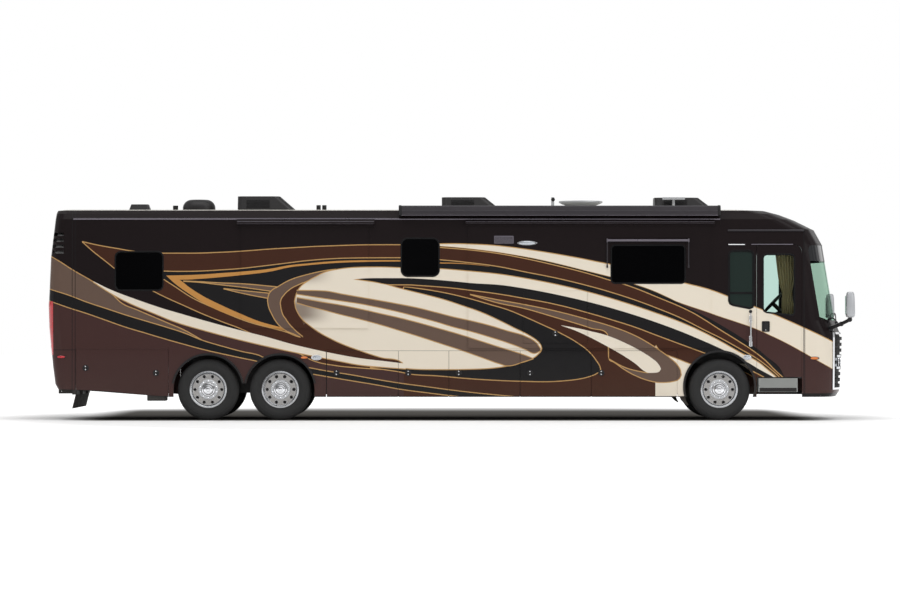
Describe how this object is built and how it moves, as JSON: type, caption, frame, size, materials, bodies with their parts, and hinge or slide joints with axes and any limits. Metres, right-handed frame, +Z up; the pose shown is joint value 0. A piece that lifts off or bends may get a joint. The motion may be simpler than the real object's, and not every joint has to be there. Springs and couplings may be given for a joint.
{
  "type": "motorhome",
  "caption": "Large bus-based motorhome with a tag axle, slide-out rooms, luggage bays, an entry door, roof equipment and swoosh paintwork.",
  "frame": {"origin": "on the ground, below the middle of the vehicle's length and width", "axes": "+X forward, +Y towards the driver's side, +Z up"},
  "size_m": [13.794, 3.2, 3.8568],
  "materials": {
    "body_paint": "high-gloss clear-coated paint",
    "roof_skin": "moulded glass-fibre roof sheet",
    "bay_grey": "satin grey underbody coating",
    "chassis_black": "satin black chassis paint",
    "axle_iron": "painted casting",
    "engine_iron": "painted casting",
    "clear_glass": "laminated safety glass",
    "dark_glass": "privacy glass",
    "black_plastic": "gloss black moulding",
    "chrome": "chrome plate",
    "lamp_lens": "clear lamp lens",
    "red_lens": "red lamp lens",
    "roof_plastic": "moulded cover",
    "dish_metal": "silver paint",
    "awning_metal": "dark powder coat",
    "dash_plastic": "grained moulding",
    "seat_leather": "tan hide",
    "flap_rubber": "moulded rubber sheet",
    "step_metal": "ribbed aluminium",
    "tyre_rubber": "black rubber",
    "wheel_alloy": "polished forging"
  },
  "bodies": {
    "body": {"chassis_frame": "chassis_black", "floor_and_bays": "bay_grey", "side_wall_right": "body_paint", "side_wall_left": "body_paint", "roof_panel": "roof_skin", "front_cap": "body_paint", "rear_cap": "body_paint", "windshield": "clear_glass", "side_glass": "dark_glass", "front_grille": "black_plastic", "grille_surround": "chrome", "headlamps": "lamp_lens", "tail_lamps": "red_lens", "engine_block": "engine_iron", "front_axle": "axle_iron", "drive_axle": "axle_iron", "tag_axle": "axle_iron", "roof_air_conditioners": "roof_plastic", "roof_vents": "roof_plastic", "satellite_dish": "dish_metal", "patio_awning": "awning_metal", "mirrors": "chrome", "dashboard": "dash_plastic", "cab_seats": "seat_leather", "mud_flap": "flap_rubber", "arch_trims": "black_plastic"},
    "steer_knuckle_right": {"knuckle_right": "axle_iron"},
    "steer_knuckle_left": {"knuckle_left": "axle_iron"},
    "steering_wheel": {"steering_wheel": "dash_plastic"},
    "entry_door": {"entry_door": "body_paint", "entry_door_glass": "clear_glass"},
    "entry_step": {"entry_step": "step_metal"},
    "bedroom_slide": {"bedroom_slide": "body_paint"},
    "living_slide": {"living_slide": "body_paint"},
    "left_slide": {"left_slide": "body_paint"},
    "tv_door": {"tv_door": "body_paint"},
    "engine_door": {"engine_door": "body_paint"},
    "rear_door_right": {"rear_door_right": "body_paint"},
    "rear_door_left": {"rear_door_left": "body_paint"},
    "wheel_front_right": {"tyre_front_right": "tyre_rubber", "wheel_front_right": "wheel_alloy"},
    "wheel_front_left": {"tyre_front_left": "tyre_rubber", "wheel_front_left": "wheel_alloy"},
    "wheel_drive_right": {"tyre_drive_right": "tyre_rubber", "wheel_drive_right": "wheel_alloy"},
    "wheel_drive_left": {"tyre_drive_left": "tyre_rubber", "wheel_drive_left": "wheel_alloy"},
    "wheel_tag_right": {"tyre_tag_right": "tyre_rubber", "wheel_tag_right": "wheel_alloy"},
    "wheel_tag_left": {"tyre_tag_left": "tyre_rubber", "wheel_tag_left": "wheel_alloy"},
    "bay_door_right_1": {"bay_door_right_1": "body_paint"},
    "bay_door_right_2": {"bay_door_right_2": "body_paint"},
    "bay_door_right_3": {"bay_door_right_3": "body_paint"},
    "bay_door_right_4": {"bay_door_right_4": "body_paint"},
    "bay_door_right_5": {"bay_door_right_5": "body_paint"},
    "bay_door_left_1": {"bay_door_left_1": "body_paint"},
    "bay_door_left_2": {"bay_door_left_2": "body_paint"},
    "bay_door_left_3": {"bay_door_left_3": "body_paint"},
    "bay_door_left_4": {"bay_door_left_4": "body_paint"}
  },
  "joints": [
    {"name": "steer_right", "type": "hinge", "parent": "body", "child": "steer_knuckle_right", "pos_m": [4.615, -0.93, 0.522], "axis": [0, 0, 1], "range_deg": [-40, 40]},
    {"name": "steer_left", "type": "hinge", "parent": "body", "child": "steer_knuckle_left", "pos_m": [4.615, 0.93, 0.522], "axis": [0, 0, 1], "range_deg": [-40, 40]},
    {"name": "steering_wheel_turn", "type": "hinge", "parent": "body", "child": "steering_wheel", "pos_m": [5.7, 0.6, 2.01], "axis": [-0.7295, 0, 0.6839], "range_deg": [-720, 720]},
    {"name": "entry_door_hinge", "type": "hinge", "parent": "body", "child": "entry_door", "pos_m": [6.015, -1.283, 1.5], "axis": [0, 0, 1], "range_deg": [0, 90]},
    {"name": "entry_step_slide", "type": "slide", "parent": "body", "child": "entry_step", "axis": [0, -1, 0], "range_m": [0, 0.25]},
    {"name": "bedroom_slide_out", "type": "slide", "parent": "body", "child": "bedroom_slide", "axis": [0, -1, 0], "range_m": [0, 0.7]},
    {"name": "living_slide_out", "type": "slide", "parent": "body", "child": "living_slide", "axis": [0, -1, 0], "range_m": [0, 0.7]},
    {"name": "left_slide_out", "type": "slide", "parent": "body", "child": "left_slide", "axis": [0, 1, 0], "range_m": [0, 0.7]},
    {"name": "tv_door_hinge", "type": "hinge", "parent": "living_slide", "child": "tv_door", "pos_m": [1.817, -1.2993, 2.21], "axis": [-1, 0, 0], "range_deg": [0, 90]},
    {"name": "engine_door_hinge", "type": "hinge", "parent": "body", "child": "engine_door", "pos_m": [-6.888, 0, 1.637], "axis": [0, 1, 0], "range_deg": [0, 80]},
    {"name": "rear_door_right_hinge", "type": "hinge", "parent": "body", "child": "rear_door_right", "pos_m": [-5.5, -1.283, 1.212], "axis": [-1, 0, 0], "range_deg": [0, 85]},
    {"name": "rear_door_left_hinge", "type": "hinge", "parent": "body", "child": "rear_door_left", "pos_m": [-5.5, 1.283, 1.212], "axis": [1, 0, 0], "range_deg": [0, 85]},
    {"name": "roll_front_right", "type": "hinge", "parent": "steer_knuckle_right", "child": "wheel_front_right", "pos_m": [4.615, -1.086, 0.522], "axis": [0, 1, 0], "continuous": true},
    {"name": "roll_front_left", "type": "hinge", "parent": "steer_knuckle_left", "child": "wheel_front_left", "pos_m": [4.615, 1.086, 0.522], "axis": [0, 1, 0], "continuous": true},
    {"name": "roll_drive_right", "type": "hinge", "parent": "body", "child": "wheel_drive_right", "pos_m": [-2.872, -1.086, 0.522], "axis": [0, 1, 0], "continuous": true},
    {"name": "roll_drive_left", "type": "hinge", "parent": "body", "child": "wheel_drive_left", "pos_m": [-2.872, 1.086, 0.522], "axis": [0, 1, 0], "continuous": true},
    {"name": "roll_tag_right", "type": "hinge", "parent": "body", "child": "wheel_tag_right", "pos_m": [-4.1, -1.086, 0.522], "axis": [0, 1, 0], "continuous": true},
    {"name": "roll_tag_left", "type": "hinge", "parent": "body", "child": "wheel_tag_left", "pos_m": [-4.1, 1.086, 0.522], "axis": [0, 1, 0], "continuous": true},
    {"name": "bay_door_right_1_hinge", "type": "hinge", "parent": "body", "child": "bay_door_right_1", "pos_m": [-0.861, -1.283, 0.8], "axis": [0, 0, 1], "range_deg": [0, 90]},
    {"name": "bay_door_right_2_hinge", "type": "hinge", "parent": "body", "child": "bay_door_right_2", "pos_m": [-0.002, -1.283, 0.8], "axis": [0, 0, 1], "range_deg": [0, 90]},
    {"name": "bay_door_right_3_hinge", "type": "hinge", "parent": "body", "child": "bay_door_right_3", "pos_m": [1.213, -1.283, 0.8], "axis": [0, 0, 1], "range_deg": [0, 90]},
    {"name": "bay_door_right_4_hinge", "type": "hinge", "parent": "body", "child": "bay_door_right_4", "pos_m": [2.425, -1.283, 0.8], "axis": [0, 0, 1], "range_deg": [0, 90]},
    {"name": "bay_door_right_5_hinge", "type": "hinge", "parent": "body", "child": "bay_door_right_5", "pos_m": [3.891, -1.283, 0.8], "axis": [0, 0, 1], "range_deg": [0, 90]},
    {"name": "bay_door_left_1_hinge", "type": "hinge", "parent": "body", "child": "bay_door_left_1", "pos_m": [-0.591, 1.283, 0.8], "axis": [0, 0, -1], "range_deg": [0, 90]},
    {"name": "bay_door_left_2_hinge", "type": "hinge", "parent": "body", "child": "bay_door_left_2", "pos_m": [0.903, 1.283, 0.8], "axis": [0, 0, -1], "range_deg": [0, 90]},
    {"name": "bay_door_left_3_hinge", "type": "hinge", "parent": "body", "child": "bay_door_left_3", "pos_m": [2.397, 1.283, 0.8], "axis": [0, 0, -1], "range_deg": [0, 90]},
    {"name": "bay_door_left_4_hinge", "type": "hinge", "parent": "body", "child": "bay_door_left_4", "pos_m": [3.891, 1.283, 0.8], "axis": [0, 0, -1], "range_deg": [0, 90]}
  ],
  "couplings": [
    {"joint": "steer_left", "follows": "steer_right", "ratio": 1},
    {"joint": "steering_wheel_turn", "follows": "steer_right", "ratio": 18}
  ]
}
